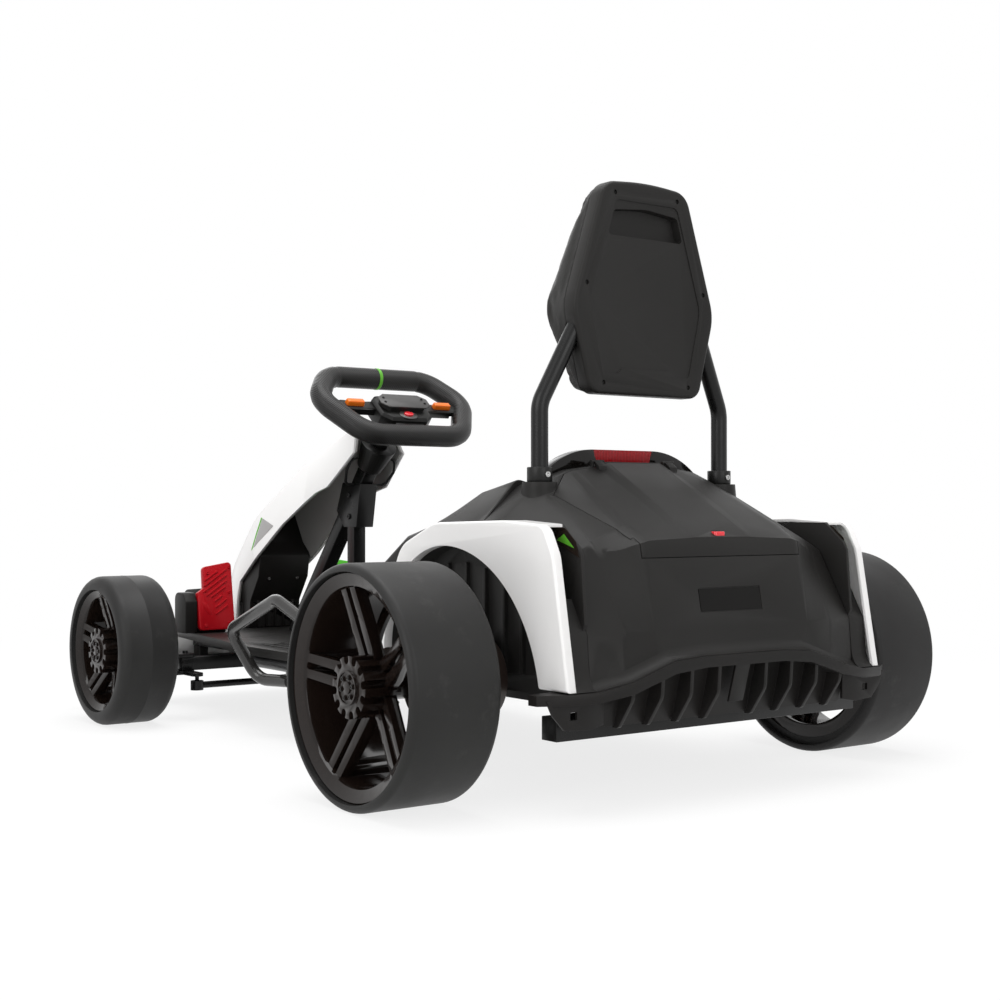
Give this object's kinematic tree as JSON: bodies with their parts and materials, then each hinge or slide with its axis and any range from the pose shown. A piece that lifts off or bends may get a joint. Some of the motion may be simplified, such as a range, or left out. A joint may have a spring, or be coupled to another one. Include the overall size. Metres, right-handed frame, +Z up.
{
  "type": "electric drift kart",
  "caption": "Child's low electric drift kart with wide slick tyres, flat steering wheel, padded backrest on bent tubes and a moulded rear body with a boot lid.",
  "frame": {"origin": "on the floor, at the middle of the kart's length and width", "axes": "+X forwards, +Y to the driver's left, +Z up"},
  "size_m": [1.1999, 0.8, 0.7024],
  "materials": {
    "slick_tyre": "matt moulded tread, satin sidewall",
    "rim_black": "gloss black moulded rim",
    "frame_black": "satin black powder coat",
    "bare_steel": "plain zinc-plated steel",
    "gearbox_black": "matt black moulding",
    "body_black": "fine-grained matt black moulding",
    "trim_black": "gloss black moulding",
    "shell_white": "gloss white moulding",
    "liner_grey": "matt dark grey moulding",
    "lamp_red": "red moulded lens",
    "pedal_red": "satin red moulding",
    "pedal_green": "satin green moulding",
    "button_orange": "satin orange moulding",
    "button_red": "satin red moulding",
    "grip_black": "soft black grip with a woven look",
    "cushion_black": "soft black padded skin",
    "carbon_look": "woven-look black tube",
    "cable_rubber": "black sheath"
  },
  "bodies": {
    "chassis": {"backrest_pad": "cushion_black", "backrest_posts": "frame_black", "backrest_shell": "body_black", "cable_left": "cable_rubber", "cable_right": "cable_rubber", "column_collar": "body_black", "column_tube": "frame_black", "cowl_liner": "liner_grey", "diffuser": "body_black", "fenders": "shell_white", "floor_pan": "body_black", "front_axle_beam": "frame_black", "front_bumper": "shell_white", "front_splitter": "body_black", "gearboxes": "gearbox_black", "hips": "body_black", "lamp_garnish": "trim_black", "main_frame": "frame_black", "nose_box": "gearbox_black", "nose_cowl": "shell_white", "pedal_green": "pedal_green", "pedal_mounts": "gearbox_black", "pedal_red": "pedal_red", "post_collars": "trim_black", "rear_axle": "bare_steel", "rear_body": "body_black", "seat_bucket": "body_black", "seat_cushion": "cushion_black", "side_bars": "frame_black", "sill_tubes": "carbon_look", "steering_post": "frame_black", "tail_lamp": "lamp_red", "wheel_wells": "body_black"},
    "boot_lid": {"rear_lid": "body_black", "lid_button": "button_red"},
    "steering_wheel": {"steering_rim": "grip_black", "steering_hub": "body_black", "steering_buttons": "button_orange", "start_button": "button_red"},
    "steering_shaft": {"steering_spindle": "bare_steel"},
    "track_rod": {"tie_rod": "frame_black"},
    "left_knuckle": {"knuckle_left": "frame_black"},
    "right_knuckle": {"knuckle_right": "frame_black"},
    "front_left_wheel": {"rim_front_left": "rim_black", "tyre_front_left": "slick_tyre"},
    "front_right_wheel": {"rim_front_right": "rim_black", "tyre_front_right": "slick_tyre"},
    "rear_left_wheel": {"rim_rear_left": "rim_black", "tyre_rear_left": "slick_tyre"},
    "rear_right_wheel": {"rim_rear_right": "rim_black", "tyre_rear_right": "slick_tyre"}
  },
  "joints": [
    {"name": "steering_turn", "type": "hinge", "parent": "chassis", "child": "steering_wheel", "pos_m": [0.115, 0, 0.467], "axis": [-0.6428, 0, 0.766], "range_deg": [-45, 45]},
    {"name": "steering_shaft_turn", "type": "hinge", "parent": "chassis", "child": "steering_shaft", "pos_m": [0.34425, 0, 0.06], "axis": [0, 0, 1], "range_deg": [-45.5, 45.5]},
    {"name": "left_kingpin", "type": "hinge", "parent": "chassis", "child": "left_knuckle", "pos_m": [0.364, 0.218, 0.082], "axis": [0, 0, 1], "range_deg": [-22.5, 22.5]},
    {"name": "right_kingpin", "type": "hinge", "parent": "chassis", "child": "right_knuckle", "pos_m": [0.364, -0.218, 0.082], "axis": [0, 0, 1], "range_deg": [-22.5, 22.5]},
    {"name": "track_rod_slide", "type": "slide", "parent": "chassis", "child": "track_rod", "axis": [0, -1, 0], "range_m": [-0.01585, 0.01585]},
    {"name": "front_left_spin", "type": "hinge", "parent": "left_knuckle", "child": "front_left_wheel", "pos_m": [0.364, 0.318, 0.109], "axis": [0, 1, 0], "continuous": true},
    {"name": "front_right_spin", "type": "hinge", "parent": "right_knuckle", "child": "front_right_wheel", "pos_m": [0.364, -0.318, 0.109], "axis": [0, 1, 0], "continuous": true},
    {"name": "rear_left_spin", "type": "hinge", "parent": "chassis", "child": "rear_left_wheel", "pos_m": [-0.412, 0.345, 0.13], "axis": [0, 1, 0], "continuous": true},
    {"name": "rear_right_spin", "type": "hinge", "parent": "chassis", "child": "rear_right_wheel", "pos_m": [-0.412, -0.345, 0.13], "axis": [0, 1, 0], "continuous": true},
    {"name": "boot_lid_hinge", "type": "hinge", "parent": "chassis", "child": "boot_lid", "pos_m": [-0.4112, 0, 0.3718], "axis": [0, 1, 0], "range_deg": [0, 65]}
  ],
  "couplings": [
    {"joint": "steering_shaft_turn", "follows": "steering_turn", "ratio": 1},
    {"joint": "left_kingpin", "follows": "steering_turn", "ratio": 0.48889},
    {"joint": "right_kingpin", "follows": "steering_turn", "ratio": 0.48889},
    {"joint": "track_rod_slide", "follows": "steering_turn", "m_per_rad": 0.020033}
  ]
}
